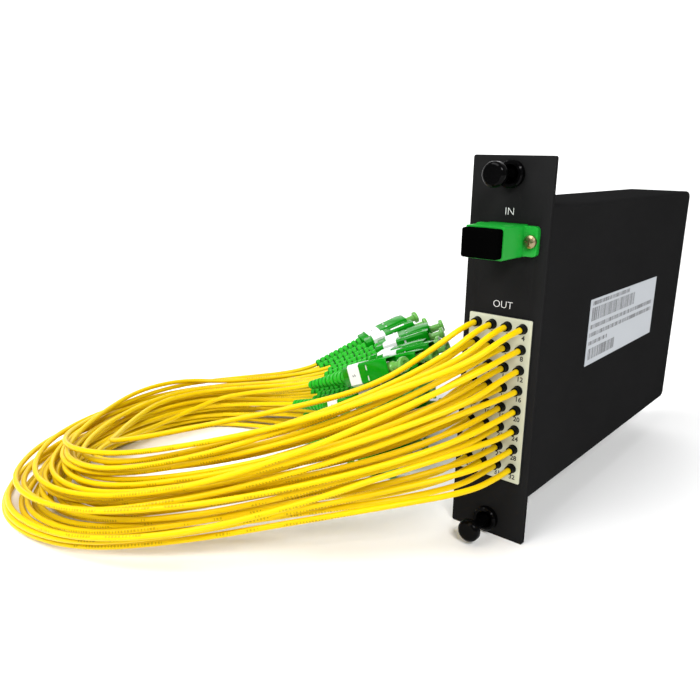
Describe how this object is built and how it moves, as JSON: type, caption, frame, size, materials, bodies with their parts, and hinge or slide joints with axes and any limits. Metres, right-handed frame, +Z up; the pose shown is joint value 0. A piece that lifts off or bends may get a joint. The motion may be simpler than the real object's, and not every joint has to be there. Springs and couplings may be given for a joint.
{
  "type": "fibre splitter cassette",
  "caption": "Narrow black rack cassette that splits one fibre input into many yellow pigtails with green plugs, held by a push-pull latch at each end.",
  "frame": {"origin": "on the surface it stands on, at the panel's bottom edge height, under the middle of the box round the cassette without its cords and loose plugs", "axes": "+X across the panel to the right as seen from the front, +Y from the panel back into the rack, +Z up along the panel"},
  "size_m": [0.1926, 0.2617, 0.1295],
  "materials": {
    "black_coat": "satin powder coat",
    "screw_black": "blackened",
    "label_white": "printed film",
    "latch_black": "gloss",
    "adapter_green": "moulded",
    "ceramic_white": "ground ceramic",
    "cap_black": "moulded",
    "screw_nickel": "nickel",
    "plate_cream": "engraved laminate",
    "sleeve_black": "moulded",
    "potting_black": "cast resin",
    "module_steel": "brushed",
    "fibre_white": "loose tube",
    "plug_green": "moulded",
    "boot_green": "moulded",
    "plug_white": "moulded",
    "cap_clear_green": "translucent",
    "cord_yellow": "smooth jacket"
  },
  "bodies": {
    "cassette": {"front_panel": "black_coat", "casing_tray": "black_coat", "casing_cover": "black_coat", "cover_screws": "screw_black", "side_label": "label_white", "upper_latch_grommet": "latch_black", "lower_latch_grommet": "latch_black", "adapter_body": "adapter_green", "adapter_sleeve_holders": "adapter_green", "adapter_split_sleeve": "ceramic_white", "adapter_screws": "screw_nickel", "adapter_nuts": "screw_nickel", "output_plate": "plate_cream", "port_sleeves": "sleeve_black", "cord_anchor": "potting_black", "splitter_module": "module_steel", "output_fibres": "fibre_white", "input_fibre": "fibre_white", "input_plug": "plug_green", "plug_boots": "boot_green", "plug_bodies": "plug_white", "plug_grips": "plug_green", "plug_number_sleeves": "label_white", "plug_dust_caps": "cap_clear_green", "cord_01": "cord_yellow", "cord_02": "cord_yellow", "cord_03": "cord_yellow", "cord_04": "cord_yellow", "cord_05": "cord_yellow", "cord_06": "cord_yellow", "cord_07": "cord_yellow", "cord_08": "cord_yellow", "cord_09": "cord_yellow", "cord_10": "cord_yellow", "cord_11": "cord_yellow", "cord_12": "cord_yellow", "cord_13": "cord_yellow", "cord_14": "cord_yellow", "cord_15": "cord_yellow", "cord_16": "cord_yellow", "cord_17": "cord_yellow", "cord_18": "cord_yellow", "cord_19": "cord_yellow", "cord_20": "cord_yellow", "cord_21": "cord_yellow", "cord_22": "cord_yellow", "cord_23": "cord_yellow", "cord_24": "cord_yellow", "cord_25": "cord_yellow", "cord_26": "cord_yellow", "cord_27": "cord_yellow", "cord_28": "cord_yellow", "cord_29": "cord_yellow", "cord_30": "cord_yellow", "cord_31": "cord_yellow", "cord_32": "cord_yellow"},
    "upper_plunger": {"upper_latch_plunger": "latch_black"},
    "lower_plunger": {"lower_latch_plunger": "latch_black"},
    "dust_cap": {"adapter_dust_cap": "cap_black"}
  },
  "joints": [
    {"name": "upper_latch_slide", "type": "slide", "parent": "cassette", "child": "upper_plunger", "axis": [0, 1, 0], "range_m": [-0.0017, 0.0073]},
    {"name": "lower_latch_slide", "type": "slide", "parent": "cassette", "child": "lower_plunger", "axis": [0, 1, 0], "range_m": [-0.0008, 0.0082]},
    {"name": "dust_cap_pull", "type": "slide", "parent": "cassette", "child": "dust_cap", "axis": [0, -1, 0], "range_m": [0, 0.02]}
  ]
}
